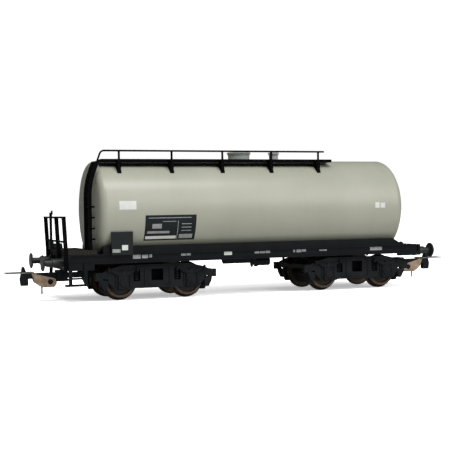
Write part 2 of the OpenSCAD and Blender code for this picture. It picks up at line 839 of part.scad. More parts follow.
// One half of an end beam with its block, hanger and brake shoe, drawn for +X and +Y
module brake_rig() {
    shoe_in_r = tread_r + shoe_gap;
    translate([beam_x, spine_w / 2, beam_z]) cube([beam_l, frame_out_y - spine_w / 2, beam_h]);
    translate([beam_x, frame_out_y - side_frame_t, beam_z + beam_h - beam_block_h])
        cube([beam_l + beam_block_w / 2, side_frame_t, beam_block_h]);
    intersection() {
        translate([wheelbase / 2, shoe_y, axle_z]) rotate([-90, 0, 0]) difference() {
            cylinder(r = shoe_in_r + shoe_t, h = shoe_w);
            translate([0, 0, -shoe_w]) cylinder(r = shoe_in_r, h = 3 * shoe_w);
        }
        translate([wheelbase / 2 + shoe_reach, shoe_y, axle_z - shoe_drop])
            cube([2 * tread_r, shoe_w, beam_z - axle_z + shoe_drop]);
    }
    slab(frame_out_y - side_frame_t, side_frame_t) polygon([
        [beam_x, beam_z - 0.55],
        [beam_x + 1, beam_z - 0.55],
        [beam_x + 0.7, 5.6],
        [beam_x - 0.3, 3.7],
        [beam_x - 1.3, 3.7],
        [beam_x - 1.8, 5.2],
        [beam_x - 1.6, 6.7],
        [beam_x - 0.3, 6.9]
    ]);
    translate([beam_x - shoe_arm_in, shoe_y, beam_z - shoe_arm_h])
        cube([beam_l, shoe_w, shoe_arm_h + beam_h / 2]);
}

module bogie_brakes(end) {
    color(BOGIE_BLACK) translate([pivot_x(end), 0, 0])
        for (x = [0, 1], y = [0, 1]) mirror([x, 0, 0]) mirror([0, y, 0]) brake_rig();
}

// Half section of a wheel: radius, then distance from its back
module wheel_outline() {
    bore_r = axle_r + press_gap;
    polygon([
        [bore_r, 0],
        [flange_r - 0.3, 0],
        [flange_r, 0.3],
        [flange_r, 0.5],
        [tread_r + 0.12, flange_w],
        [tread_r, flange_w + 0.2],
        [tread_r - 0.06, wheel_w - 0.2],
        [tread_r - 0.2, wheel_w],
        [rim_inner_r, wheel_w],
        [rim_inner_r - 0.2, wheel_w - web_dish],
        [hub_r + 0.15, wheel_w - web_dish],
        [hub_r, wheel_w],
        [bore_r, wheel_w]
    ]);
}

function axle_x(end, place) = pivot_x(end) + end * place * wheelbase / 2;

module wheels(end, place) {
    color(WHEEL_BROWN) translate([axle_x(end, place), 0, axle_z])
        for (side = [RIGHT, LEFT])
            translate([0, side * back_to_back / 2, 0]) rotate([-90 * side, 0, 0])
                rotate_extrude() wheel_outline();
}

module axle(end, place) {
    l = side_frame_gap + 2 * (bearing_depth - 0.2);
    color(WHEEL_BROWN) translate([axle_x(end, place), l / 2, axle_z]) rotate([90, 0, 0])
        cylinder(r = axle_r, h = l);
}

tank_barrel();
dome(manhole_x, manhole_r - dome_lip);  // manhole_dome
dome(valve_dome_x, valve_dome_r - dome_lip);  // valve_dome
walkway();
handrail_posts();
handrail();
end_ladder();
chassis_floor();
centre_sill();
solebar(RIGHT);  // solebar_right
solebar(LEFT);  // solebar_left
headstock(END_A);  // headstock_a
headstock(END_B);  // headstock_b
cradle(RIGHT);  // cradle_right
cradle(LEFT);  // cradle_left
platform_deck();
platform_railing();
handbrake_column();
handbrake_gearbox();
footstep(RIGHT);  // footstep_right
footstep(LEFT);  // footstep_left
sign_plate(RIGHT);  // sign_plate_right
sign_plate(LEFT);  // sign_plate_left
buffer(END_A, RIGHT);  // buffer_a_right
buffer(END_A, LEFT);  // buffer_a_left
buffer(END_B, RIGHT);  // buffer_b_right
buffer(END_B, LEFT);  // buffer_b_left
air_reservoir();
brake_cylinder();
brake_lever();
pivot_screw(END_A);  // pivot_screw_a
pivot_screw(END_B);  // pivot_screw_b
side_frame(END_A, RIGHT);  // bogie_a_side_right
side_frame(END_A, LEFT);  // bogie_a_side_left
bogie_bolster(END_A);  // bogie_a_bolster
bogie_brakes(END_A);  // bogie_a_brakes
side_frame(END_B, RIGHT);  // bogie_b_side_right
side_frame(END_B, LEFT);  // bogie_b_side_left
bogie_bolster(END_B);  // bogie_b_bolster
bogie_brakes(END_B);  // bogie_b_brakes
wheels(END_A, OUTER);  // wheels_a_outer
axle(END_A, OUTER);  // axle_a_outer
wheels(END_A, INNER);  // wheels_a_inner
axle(END_A, INNER);  // axle_a_inner
wheels(END_B, OUTER);  // wheels_b_outer
axle(END_B, OUTER);  // axle_b_outer
wheels(END_B, INNER);  // wheels_b_inner
axle(END_B, INNER);  // axle_b_inner
coupler_hook(END_A);  // coupler_a_hook
coupler_lever(END_A);  // coupler_a_lever
coupler_loop(END_A);  // coupler_a_loop
coupler_hook(END_B);  // coupler_b_hook
coupler_lever(END_B);  // coupler_b_lever
coupler_loop(END_B);  // coupler_b_loop
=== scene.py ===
"""Looks of a 1:87 model of a four-axle tank wagon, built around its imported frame. Lengths are in
mm and are turned to metres by MM, apart from the floor's and the places of lights and camera."""
import json
import math

import bmesh
import bpy
from mathutils import Matrix, Vector


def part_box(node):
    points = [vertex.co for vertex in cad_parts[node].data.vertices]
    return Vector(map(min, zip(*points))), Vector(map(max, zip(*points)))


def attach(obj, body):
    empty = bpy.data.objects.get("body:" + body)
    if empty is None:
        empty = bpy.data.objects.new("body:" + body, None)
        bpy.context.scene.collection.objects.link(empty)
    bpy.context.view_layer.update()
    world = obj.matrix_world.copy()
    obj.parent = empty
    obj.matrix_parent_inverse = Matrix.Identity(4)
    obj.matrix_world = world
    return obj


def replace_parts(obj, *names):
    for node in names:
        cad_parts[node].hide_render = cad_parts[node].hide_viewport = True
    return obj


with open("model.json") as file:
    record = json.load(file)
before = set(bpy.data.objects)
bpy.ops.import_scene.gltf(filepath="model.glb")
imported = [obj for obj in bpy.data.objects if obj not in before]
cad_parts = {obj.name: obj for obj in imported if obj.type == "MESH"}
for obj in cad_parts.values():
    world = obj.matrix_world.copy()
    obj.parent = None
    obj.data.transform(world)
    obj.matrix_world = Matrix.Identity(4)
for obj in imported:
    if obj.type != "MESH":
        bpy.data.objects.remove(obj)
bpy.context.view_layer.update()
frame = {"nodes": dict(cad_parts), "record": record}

MM = 0.001
NODES = frame["nodes"]
RIGHT, LEFT = -1, 1
SIDES = {"right": RIGHT, "left": LEFT}
ENDS = {"a": -1, "b": 1}
BARREL_L = 105.3
UP = (0, 0, 1)


def node_box(name):
    """The lowest and highest corner of a CAD node, in mm."""
    lo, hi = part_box(name)
    return lo / MM, hi / MM


def node_middle(name):
    """The middle of a CAD node's box, in mm."""
    lo, hi = node_box(name)
    return (lo + hi) / 2


TANK_LO, TANK_HI = node_box("tank_barrel")
TANK_Z = (TANK_LO.z + TANK_HI.z) / 2
TANK_R = (TANK_HI.z - TANK_LO.z) / 2
DISH_H = (TANK_HI.x - TANK_LO.x - BARREL_L) / 2
SOLEBAR_LO, SOLEBAR_HI = node_box("solebar_right")
HEADSTOCK_X = node_box("headstock_b")[1].x
DECK_LO, DECK_HI = node_box("platform_deck")
WALK_LO, WALK_HI = node_box("walkway")
AXLES = {
    (end, place): node_middle(f"axle_{end}_{place}") for end in ENDS for place in ("outer", "inner")
}
AXLE_Z = AXLES["a", "outer"].z


# ---- Finishes ----

GRAIN_ROUGHNESS = 0.55


def link_value(tree, low, high, source, target):
    """A number between low and high that follows a 0 to 1 source."""
    spread = tree.nodes.new("ShaderNodeMapRange")
    spread.inputs["To Min"].default_value = low
    spread.inputs["To Max"].default_value = high
    tree.links.new(source, spread.inputs["Value"])
    tree.links.new(spread.outputs["Result"], target)


def stretched(tree, coords, scale):
    """The coordinates, stretched along each axis."""
    mapping = tree.nodes.new("ShaderNodeMapping")
    mapping.inputs["Scale"].default_value = scale
    tree.links.new(coords, mapping.inputs["Vector"])
    return mapping.outputs["Vector"]


def grain(tree, coords, scale, detail=4.0):
    """A noise of the given scale, in features to the metre."""
    noise = tree.nodes.new("ShaderNodeTexNoise")
    noise.inputs["Scale"].default_value = scale
    noise.inputs["Detail"].default_value = detail
    noise.inputs["Roughness"].default_value = GRAIN_ROUGHNESS
    tree.links.new(coords, noise.inputs["Vector"])
    return noise.outputs["Fac"]


def two_tones(tree, source, dark, light, low=0.35, high=0.65):
    """A colour between dark and light that follows a source between low and high."""
    ramp = tree.nodes.new("ShaderNodeValToRGB")
    ramp.color_ramp.elements[0].position = low
    ramp.color_ramp.elements[1].position = high
    ramp.color_ramp.elements[0].color = (*dark, 1)
    ramp.color_ramp.elements[1].color = (*light, 1)
    tree.links.new(source, ramp.inputs["Fac"])
    return ramp.outputs["Color"]


def blended(tree, share, first, second):
    """A mix of a colour socket and a plain second colour."""
    mix = tree.nodes.new("ShaderNodeMix")
    mix.data_type = "RGBA"
    mix.inputs["B"].default_value = (*second, 1)
    tree.links.new(share, mix.inputs["Factor"])
    tree.links.new(first, mix.inputs["A"])
    return mix.outputs["Result"]


def bumps(tree, shader, height, depth):
    """Relief of the given depth in mm."""
    bump = tree.nodes.new("ShaderNodeBump")
    bump.inputs["Distance"].default_value = depth * MM
    bump.inputs["Strength"].default_value = 1.0
    tree.links.new(height, bump.inputs["Height"])
    tree.links.new(bump.outputs["Normal"], shader.inputs["Normal"])


def finish(name, metal=0.0, gloss=0.3, stretch=(1, 1, 1), centre=(0, 0, 0)):
    """A new material: itself, its node tree, its shader and its coordinates in metres."""
    material = bpy.data.materials.new(name)
    material.use_nodes = True
    tree = material.node_tree
    shader = tree.nodes["Principled BSDF"]
    shader.inputs["Metallic"].default_value = metal
    shader.inputs["Specular IOR Level"].default_value = gloss
    place = tree.nodes.new("ShaderNodeTexCoord")
    mapping = tree.nodes.new("ShaderNodeMapping")
    mapping.inputs["Location"].default_value = [-c * s for c, s in zip(centre, stretch)]
    mapping.inputs["Scale"].default_value = stretch
    tree.links.new(place.outputs["Object"], mapping.inputs["Vector"])
    return material, tree, shader, mapping.outputs["Vector"]


def moulded(name, dark, light, rough=(0.4, 0.55), gloss=0.3, mottle=180, fine=3500, depth=0.012):
    """Painted or moulded plastic with a faint mottle and a fine grain."""
    material, tree, shader, coords = finish(name, gloss=gloss)
    tone = two_tones(tree, grain(tree, coords, mottle), dark, light)
    tree.links.new(tone, shader.inputs["Base Color"])
    skin = grain(tree, coords, fine, 3.0)
    link_value(tree, *rough, skin, shader.inputs["Roughness"])
    bumps(tree, shader, skin, depth)
    return material


def tank_paint():
    """Satin warm grey with long, faint runs of dust down the barrel."""
    light, dark, dust = (0.440, 0.449, 0.366), (0.400, 0.408, 0.328), (0.30, 0.305, 0.24)
    material, tree, shader, coords = finish("tank_grey_paint", gloss=0.6)
    base = two_tones(tree, grain(tree, coords, 45, 3.0), dark, light)
    streaks = grain(tree, stretched(tree, coords, (520, 60, 26)), 1.0, 3.0)
    share = tree.nodes.new("ShaderNodeMapRange")
    share.inputs["From Min"].default_value = 0.5
    share.inputs["From Max"].default_value = 0.85
    share.inputs["To Max"].default_value = 0.16
    tree.links.new(streaks, share.inputs["Value"])
    tone = blended(tree, share.outputs["Result"], base, dust)
    tree.links.new(tone, shader.inputs["Base Color"])
    skin = grain(tree, coords, 2600, 2.0)
    link_value(tree, 0.32, 0.40, skin, shader.inputs["Roughness"])
    bumps(tree, shader, skin, 0.006)
    return material


# Rings of colour about the axle: how far out each lies, as a share of RINGS_R, and its colour
RINGS_R = 6.4
WHEEL_RINGS = [
    (0.00, (0.075, 0.055, 0.042)),
    (0.27, (0.090, 0.066, 0.050)),
    (0.31, (0.022, 0.018, 0.015)),
    (0.62, (0.018, 0.014, 0.012)),
    (0.68, (0.130, 0.092, 0.065)),
    (0.80, (0.230, 0.165, 0.115)),
    (0.83, (0.070, 0.046, 0.032)),
    (0.95, (0.150, 0.105, 0.075)),
]
WHEEL_GRIME = (0.035, 0.026, 0.02)


def wheel_finish(name, centre):
    """Browned metal: a bright tread and rim, and a darker web, in rings about the axle."""
    material, tree, shader, coords = finish(
        name, metal=0.55, gloss=0.4, stretch=(1, 0, 1), centre=centre * MM
    )
    distance = tree.nodes.new("ShaderNodeVectorMath")
    distance.operation = "LENGTH"
    tree.links.new(coords, distance.inputs[0])
    ring = tree.nodes.new("ShaderNodeMapRange")
    ring.inputs["From Max"].default_value = RINGS_R * MM
    tree.links.new(distance.outputs["Value"], ring.inputs["Value"])
    ramp = tree.nodes.new("ShaderNodeValToRGB")
    while len(ramp.color_ramp.elements) < len(WHEEL_RINGS):
        ramp.color_ramp.elements.new(0.5)
    for element, (position, colour) in zip(ramp.color_ramp.elements, WHEEL_RINGS):
        element.position = position
        element.color = (*colour, 1)
    tree.links.new(ring.outputs["Result"], ramp.inputs["Fac"])
    grime = grain(tree, coords, 900, 3.0)
    tone = blended(tree, grime, ramp.outputs["Color"], WHEEL_GRIME)
    tree.links.new(tone, shader.inputs["Base Color"])
    link_value(tree, 0.28, 0.5, grime, shader.inputs["Roughness"])
    bumps(tree, shader, grain(tree, coords, 5000, 2.0), 0.008)
    return material


def worn_metal(name, dark, light, metal):
    """Bare metal with fine scratches and darker stains."""
    material, tree, shader, coords = finish(name, metal=metal, gloss=0.5)
    tone = two_tones(tree, grain(tree, coords, 420, 5.0), dark, light)
    tree.links.new(tone, shader.inputs["Base Color"])
    scratches = grain(tree, stretched(tree, coords, (600, 600, 6000)), 1.0, 2.0)
    link_value(tree, 0.3, 0.5, scratches, shader.inputs["Roughness"])
    bumps(tree, shader, scratches, 0.006)
    return material


def planked(name):
    """Brown-black deck boards with fibres that run across the wagon."""
    material, tree, shader, coords = finish(name, gloss=0.15)
    fibres = grain(tree, stretched(tree, coords, (2600, 240, 240)), 1.0)
    tone = two_tones(tree, fibres, (0.014, 0.012, 0.011), (0.034, 0.027, 0.023), 0.25, 0.8)
    tree.links.new(tone, shader.inputs["Base Color"])
    link_value(tree, 0.55, 0.8, fibres, shader.inputs["Roughness"])
    bumps(tree, shader, fibres, 0.03)
    return material


FRAME_BLACK = moulded(
    "frame_black_plastic", (0.0045, 0.0062, 0.0072), (0.0070, 0.0088, 0.0100), gloss=0.1
)
BOGIE_BLACK = moulded(
    "bogie_black_plastic", (0.0075, 0.0098, 0.0115), (0.0125, 0.0150, 0.0175),
    (0.5, 0.7), 0.12, 260, 4200, 0.02
)
# Painted shade: a near-black matt finish for the sheets that stand in for the shade behind the
# bogie frames' openings
SHADE_BLACK = moulded(
    "painted_shade_black", (0.001, 0.001, 0.0012), (0.002, 0.002, 0.0022), (0.8, 0.9), 0.05
)
RAIL_BLACK = moulded(
    "rail_black_paint", (0.0016, 0.0018, 0.002), (0.0032, 0.0035, 0.0038), (0.5, 0.6), 0.03
)
SIGN_BLACK = moulded(
    "sign_black_print", (0.010, 0.014, 0.015), (0.014, 0.018, 0.019), (0.5, 0.6), 0.2
)
SIGN_WHITE = moulded("sign_white_print", (0.72, 0.74, 0.70), (0.82, 0.83, 0.79), (0.5, 0.6))
SIGN_PALE = moulded(
    "sign_faded_print", (0.26, 0.28, 0.28), (0.40, 0.42, 0.41), (0.5, 0.6), mottle=900
)
# Painted shade: the tank's grey made darker and less yellow, as the domes look in shade
DOME_SHADED_GREY = moulded("dome_grey_painted_shade", (0.33, 0.36, 0.33), (0.39, 0.42, 0.385), (0.4, 0.5), 0.35)
LEVER_TAN = moulded(
    "lever_tan_metal", (0.28, 0.19, 0.12), (0.46, 0.34, 0.235), (0.32, 0.55), 0.5, 700, 5200, 0.03
)
BUFFER_GREY = worn_metal("buffer_dark_metal", (0.014, 0.015, 0.015), (0.032, 0.033, 0.033), 0.35)
WIRE_GREY = worn_metal("loop_grey_wire", (0.10, 0.10, 0.095), (0.20, 0.20, 0.19), 0.9)
AXLE_STEEL = worn_metal("axle_browned_steel", (0.055, 0.042, 0.034), (0.12, 0.095, 0.075), 0.7)
TANK_GREY = tank_paint()
DECK_BROWN = planked("deck_brown_boards")

SLOT_FINISHES = {
    "tank_paint": TANK_GREY,
    "frame_black": FRAME_BLACK,
    "bogie_black": BOGIE_BLACK,
    "deck_brown": DECK_BROWN,
    "sign_black": SIGN_BLACK,
    "axle_metal": AXLE_STEEL,
    "lever_metal": LEVER_TAN,
    "loop_wire": WIRE_GREY,
}
RAIL_NODES = (
    "walkway", "handrail_posts", "handrail", "end_ladder", "platform_railing", "handbrake_column"
)


def paint_nodes():
    """Gives every CAD node its finish: by its name, or else by its slot in the record."""
    slots = {row["node"]: row["material_slot"] for row in frame["record"]["subparts"]}
    for name, node in NODES.items():
        if name.startswith("wheels_"):
            end, place = name.split("_")[1:]
            material = wheel_finish(f"wheel_brown_{end}_{place}", AXLES[end, place])
        elif name in RAIL_NODES:
            material = RAIL_BLACK
        elif name.startswith("buffer_"):
            material = BUFFER_GREY
        elif name.endswith("_dome"):
            material = DOME_SHADED_GREY
        else:
            material = SLOT_FINISHES[slots[name]]
        node.data.materials.clear()
        node.data.materials.append(material)


# ---- Making a piece ----

CREASE = math.radians(30)
COIL_STEPS = 12
LEAF_STEPS = 10


def block(bm, lo, hi, edge=0.0):
    """A box between two corners, in mm, with its edges cut back."""
    lo, hi = Vector(lo), Vector(hi)
    made = bmesh.ops.create_cube(bm, size=1)["verts"]
    bmesh.ops.scale(bm, verts=made, vec=hi - lo)
    bmesh.ops.translate(bm, verts=made, vec=(lo + hi) / 2)
    if edge:
        edges = list({e for v in made for e in v.link_edges})
        bmesh.ops.bevel(
            bm, geom=edges, offset=edge, segments=1, profile=0.5, affect="EDGES", material=-1
        )


def side_block(bm, side, x, reach, z, edge):
    """A box on one side of the wagon. Its X, its distance from the middle and its Z are pairs."""
    y_lo, y_hi = sorted(side * distance for distance in reach)
    block(bm, (min(x), y_lo, z[0]), (max(x), y_hi, z[1]), edge)


def drum(bm, foot, axis, r, length, sides, edge=0.0):
    """A cylinder that stands on foot along axis, in mm, with its far edge rounded."""
    foot, axis = Vector(foot), Vector(axis)
    turn = Vector(UP).rotation_difference(axis).to_matrix().to_4x4()
    made = bmesh.ops.create_cone(
        bm, cap_ends=True, segments=sides, radius1=r, radius2=r, depth=length,
        matrix=Matrix.Translation(foot + axis * length / 2) @ turn
    )["verts"]
    if edge:
        far = [v for v in made if (v.co - foot).dot(axis) > length / 2]
        edges = list({e for v in far for e in v.link_edges if e.other_vert(v) in far})
        bmesh.ops.bevel(
            bm, geom=edges, offset=edge, segments=2, profile=0.5, affect="EDGES", material=-1
        )


def bolt(bm, foot, axis, r, height, sides=6):
    """A bolt's or rivet's head."""
    drum(bm, foot, axis, r, height, sides, r * 0.2)


def turned(bm, profile, centre, axis, steps):
    """A shape turned on a lathe: rows of (radius, height along the axis) in mm."""
    turn = Vector(UP).rotation_difference(Vector(axis)).to_matrix()
    verts = [bm.verts.new(turn @ Vector((r, 0, h)) + Vector(centre)) for r, h in profile]
    edges = [bm.edges.new(pair) for pair in zip(verts, verts[1:])]
    bmesh.ops.spin(
        bm, geom=verts + edges, cent=centre, axis=axis, angle=math.tau, steps=steps, use_merge=True
    )
    bmesh.ops.remove_doubles(bm, verts=list(bm.verts), dist=1e-4)


def coil(bm, foot, r, wire_r, length, turns):
    """An upright coil spring that stands on foot."""
    place = Matrix.Translation(foot) @ Matrix.Translation((r, 0, 0))
    ring = bmesh.ops.create_circle(
        bm, cap_ends=True, radius=wire_r, segments=6,
        matrix=place @ Matrix.Rotation(math.pi / 2, 4, "X")
    )["verts"]
    faces = list({f for v in ring for f in v.link_faces})
    edges = list({e for v in ring for e in v.link_edges})
    steps = turns * COIL_STEPS
    bmesh.ops.spin(
        bm, geom=ring + edges + faces, cent=foot, axis=UP, dvec=Vector(UP) * (length / steps),
        angle=math.tau * turns, steps=steps
    )


def swept(bm, corners, centre, axis, angle, steps):
    """A closed shape: a four-cornered face swept about an axis."""
    face = bm.faces.new([bm.verts.new(corner) for corner in corners])
    bmesh.ops.spin(
        bm, geom=[face, *face.edges, *face.verts], cent=centre, axis=axis, angle=angle, steps=steps
    )


def curved_plate(bm, patch, stand, thick, side):
    """A plate on the barrel: first and last X, then its low and high edge as angles in degrees."""
    x_lo, x_hi, low, high = patch
    start = math.radians(low)
    inner, outer = (
        (side * r * math.cos(start), TANK_Z + r * math.sin(start))
        for r in (TANK_R + stand, TANK_R + stand + thick)
    )
    corners = [(x_lo, *inner), (x_hi, *inner), (x_hi, *outer), (x_lo, *outer)]
    angle = side * math.radians(high - low)
    swept(bm, corners, (0, 0, TANK_Z), (1, 0, 0), angle, max(2, round((high - low) / 2)))


def piece(name, bm, body, material):
    """Finishes a piece: doubles merged, faces outwards, on its body and material."""
    bmesh.ops.remove_doubles(bm, verts=list(bm.verts), dist=1e-5)
    bmesh.ops.recalc_face_normals(bm, faces=list(bm.faces))
    bmesh.ops.scale(bm, verts=list(bm.verts), vec=(MM, MM, MM))
    for face in bm.faces:
        face.smooth = True
    for edge in bm.edges:
        if len(edge.link_faces) == 2 and edge.calc_face_angle() > CREASE:
            edge.smooth = False
    mesh = bpy.data.meshes.new(name)
    bm.to_mesh(mesh)
    bm.free()
    made = bpy.data.objects.new(name, mesh)
    bpy.context.scene.collection.objects.link(made)
    mesh.materials.append(material)
    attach(made, body)
    return made


# ---- Tank ----

PRINT_T = 0.03
PRINT_STAND = 0.01
OVERPRINT_STAND = 0.04

# Patches on the barrel: first and last X, then the low and high edge as angles in degrees
PANEL = (-39.0, -21.65, -36.3, -5.7)
PANEL_BAR = (-38.6, -28.2, -34.2, -30.4)
PANEL_RULES = [
    (-27.95, -27.75, -35.3, -12.5),
    (-38.0, -23.4, -9.2, -8.4),
    (-33.2, -28.6, -13.3, -12.6),
    (-36.6, -33.4, -21.0, -15.6),
    (-38.2, -30.6, -27.0, -24.2),
    *((-26.6, -23.2, low, low + 0.9) for low in (-16.5, -20.5, -24.5)),
    (-27.2, -22.6, -34.0, -28.6),
]
BLANK_PLATES = [(-47.6, -42.0, 1.0, 10.5), (44.9, 46.6, -1.6, 5.2), (47.0, 48.8, -1.6, 4.6)]


def print_patches(name, material, patches, stand, side):
    """Thin blank patches that stand a little over one side of the barrel."""
    bm = bmesh.new()
    for patch in patches:
        curved_plate(bm, patch, stand, PRINT_T, side)
    piece(name, bm, "wagon", material)


def tank_prints():
    """On both sides: a black data panel with a white bar and pale rules, and blank plates."""
    for name, side in SIDES.items():
        print_patches(f"tank_panel_{name}", SIGN_BLACK, [PANEL], PRINT_STAND, side)
        print_patches(f"tank_panel_bar_{name}", SIGN_WHITE, [PANEL_BAR], OVERPRINT_STAND, side)
        print_patches(f"tank_panel_rules_{name}", SIGN_PALE, PANEL_RULES, OVERPRINT_STAND, side)
        print_patches(f"tank_blank_plates_{name}", SIGN_WHITE, BLANK_PLATES, PRINT_STAND, side)


# The weld bead's closed section: height over the barrel, and place along it
BEAD = [(-0.1, -0.16), (0.02, -0.14), (0.035, 0), (0.02, 0.14), (-0.1, 0.16), (-0.1, -0.16)]
BEAD_STEPS = 128


def tank_seams():
    """The weld beads where the dished ends meet the barrel."""
    bm = bmesh.new()
    profile = [(TANK_R + height, along) for height, along in BEAD]
    for x in (TANK_LO.x + DISH_H, TANK_HI.x - DISH_H):
        turned(bm, profile, (x, 0, TANK_Z), (1, 0, 0), BEAD_STEPS)
    piece("tank_seams", bm, "wagon", TANK_GREY)


DOME_SINK = 0.3
DOME_STEPS = 56
LID_BOLT_IN = 0.5
LID_BOLT_DROP = 0.42
HANDLE_R = 0.11
HANDLE_DROP = 0.12
HANDLE_END = 0.12
HINGE_Y = 0.4
HINGE_R = 0.12
HINGE_DROP = 0.28


def dome(name, bolts):
    """A dome with a groove under its crowned lid, a ring of bolts and a handle on two knuckles."""
    lo, hi = node_box(name)
    middle = (lo + hi) / 2
    r = (hi.x - lo.x) / 2
    top = hi.z
    foot_z = TANK_Z + math.sqrt(TANK_R ** 2 - r ** 2) - DOME_SINK
    neck = [(0, foot_z), (r - 0.4, foot_z), (r - 0.4, top - 1.35)]
    flange = [(r - 0.2, top - 1.3), (r - 0.2, top - 1.12)]
    groove = [(r - 0.55, top - 1.08), (r - 0.55, top - 0.95)]
    rim = [(r - 0.05, top - 0.92), (r, top - 0.86), (r, top - 0.5), (r - 0.12, top - 0.42)]
    crown = [(r * 0.55, top - 0.24), (0, top - 0.18)]
    bm = bmesh.new()
    turned(bm, neck + flange + groove + rim + crown, (middle.x, middle.y, 0), UP, DOME_STEPS)
    ring_r = r - LID_BOLT_IN
    for i in range(bolts):
        angle = math.tau * (i + 0.5) / bolts
        x, y = middle.x + ring_r * math.cos(angle), middle.y + ring_r * math.sin(angle)
        bolt(bm, (x, y, top - LID_BOLT_DROP), UP, 0.2, 0.18)
    hinge_y = r * HINGE_Y
    for y in (-hinge_y, hinge_y):
        drum(bm, (middle.x, y, top - HINGE_DROP), UP, HINGE_R, 0.22, 10)
    handle_foot = (middle.x, -hinge_y - HANDLE_END, top - HANDLE_DROP)
    drum(bm, handle_foot, (0, 1, 0), HANDLE_R, 2 * (hinge_y + HANDLE_END), 10)
    # the domes take the tank's grey darkened as painted shade
    made = piece(f"{name}_turned", bm, "wagon", DOME_SHADED_GREY)
    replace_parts(made, name)


RUNGS = 8
RUNG_PITCH = 3.45
STUD_R = 0.3
STUD_L = 1.25
STUDS_TOP = TANK_Z + 3.5


def ladder_studs():
    """Short studs behind the ladder's near rail, one at each of the lower rungs."""
    ladder_lo = node_box("end_ladder")[0]
    x, y = ladder_lo.x + 1.0, ladder_lo.y + 0.8
    bm = bmesh.new()
    for i in range(1, RUNGS + 1):
        z = DECK_HI.z + i * RUNG_PITCH
        if z < STUDS_TOP:
            drum(bm, (x, y, z), (1, 0, 0), STUD_R, STUD_L, 10, 0.1)
    piece("ladder_studs", bm, "wagon", RAIL_BLACK)


RIBS = 88
RIB_W = 0.28
RIB_IN = 0.2
RIB_H = 0.12
STRIP_W = 0.24
STRIP_IN = 0.1
STRIP_H = 0.16
WALK_END = 0.5
SINK = 0.02


def walkway_treads():
    """Raised ribs across the walkway board, and its edge strips."""
    bm = bmesh.new()
    foot_z = WALK_HI.z - SINK
    pitch = (WALK_HI.x - WALK_LO.x - 2 * WALK_END) / RIBS
    for i in range(RIBS + 1):
        x = WALK_LO.x + WALK_END + i * pitch
        block(
            bm, (x - RIB_W / 2, WALK_LO.y + RIB_IN, foot_z),
            (x + RIB_W / 2, WALK_HI.y - RIB_IN, WALK_HI.z + RIB_H)
        )
    for y in (WALK_LO.y + STRIP_W / 2, WALK_HI.y - STRIP_W / 2):
        block(
            bm, (WALK_LO.x + STRIP_IN, y - STRIP_W / 2, foot_z),
            (WALK_HI.x - STRIP_IN, y + STRIP_W / 2, WALK_HI.z + STRIP_H), 0.04
        )
    piece("walkway_treads", bm, "wagon", RAIL_BLACK)


# ---- Underframe ----

PLANKS = 8
PLANK_GAP = 0.04


def deck_planks():
    """The platform's boards, with worn edges."""
    bm = bmesh.new()
    width = (DECK_HI.x - DECK_LO.x) / PLANKS
    for i in range(PLANKS):
        x = DECK_LO.x + i * width
        block(
            bm, (x + PLANK_GAP / 2, DECK_LO.y, DECK_LO.z),
            (x + width - PLANK_GAP / 2, DECK_HI.y, DECK_HI.z), 0.06
        )
    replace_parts(piece("deck_planks", bm, "wagon", DECK_BROWN), "platform_deck")


# Plates on the solebar's web: first and last X, then lowest and highest Z
SOLEBAR_PLATES = [
    (-42.9, -40.3, 13.6, 14.9), (-39.9, -37.8, 13.7, 14.8), (-37.4, -36.5, 13.9, 14.9),
    (-26.6, -25.0, 14.1, 14.8), (-24.8, -23.2, 14.1, 14.8),
    (-0.5, 1.2, 14.0, 14.7), (1.4, 3.4, 14.0, 14.7), (3.6, 5.2, 14.0, 14.8),
    (13.8, 14.6, 14.0, 14.9), (15.1, 16.9, 13.9, 14.9), (17.1, 18.7, 14.1, 14.9),
    (23.8, 26.7, 14.1, 14.6), (43.7, 48.5, 13.7, 14.9),
]
WHITE_PLATE = (-11.5, -8.7, 13.8, 14.95)
# Patches on the sign plate, from its lowest corner
SIGN_PALE_PATCH = (0.25, 2.9, 0.8, 1.9)
SIGN_WHITE_PATCH = (3.4, 5.4, 1.5, 3.15)
WEB_Y = -SOLEBAR_LO.y - 0.5
PLATE_EDGE = 0.02


def sign_patch(bm, name, side, patch):
    """A patch that stands a little over a sign plate's face."""
    lo, hi = node_box(f"sign_plate_{name}")
    face_y = max(abs(lo.y), abs(hi.y))
    x, z = (lo.x + patch[0], lo.x + patch[1]), (lo.z + patch[2], lo.z + patch[3])
    side_block(bm, side, x, (face_y - 0.05, face_y + 0.03), z, PLATE_EDGE)


def solebar_plates():
    """Blank plates on the solebars' webs, and two blank patches on each sign plate."""
    for name, side in SIDES.items():
        bm = bmesh.new()
        for plate in SOLEBAR_PLATES:
            side_block(bm, side, plate[:2], (WEB_Y - 0.05, WEB_Y + 0.05), plate[2:], PLATE_EDGE)
        sign_patch(bm, name, side, SIGN_PALE_PATCH)
        piece(f"solebar_plates_{name}", bm, "wagon", SIGN_PALE)
        bm = bmesh.new()
        side_block(bm, side, WHITE_PLATE[:2], (WEB_Y, WEB_Y + 0.1), WHITE_PLATE[2:], PLATE_EDGE)
        sign_patch(bm, name, side, SIGN_WHITE_PATCH)
        piece(f"white_patches_{name}", bm, "wagon", SIGN_WHITE)


BUFFER_BOLT_Y = 1.75
BUFFER_BOLT_Z = 1.1
ROD_OUT = 0.75
ROD_Y = 7.5
ROD_Z = 9.6
ROD_R = 0.4
ROD_L = 6.2
CLIP_REACH = (7.2, 7.8)
CLIP_Z = (14.2, 14.8)
KNOB_X = 56.4
KNOB_Y = 13.9
KNOB_R = 0.5
KNOB_H = 0.75
RIVETS = 10
RIVET_X = -34
RIVET_PITCH = 8.5
RIVET_Y = 14.45
RIVET_Z = 12.95
LUG_X = (42.2, 42.9)
LUG_REACH = (14.15, 14.65)
LUG_Z = 11.9
GEARBOX_BOLT_IN = 0.6


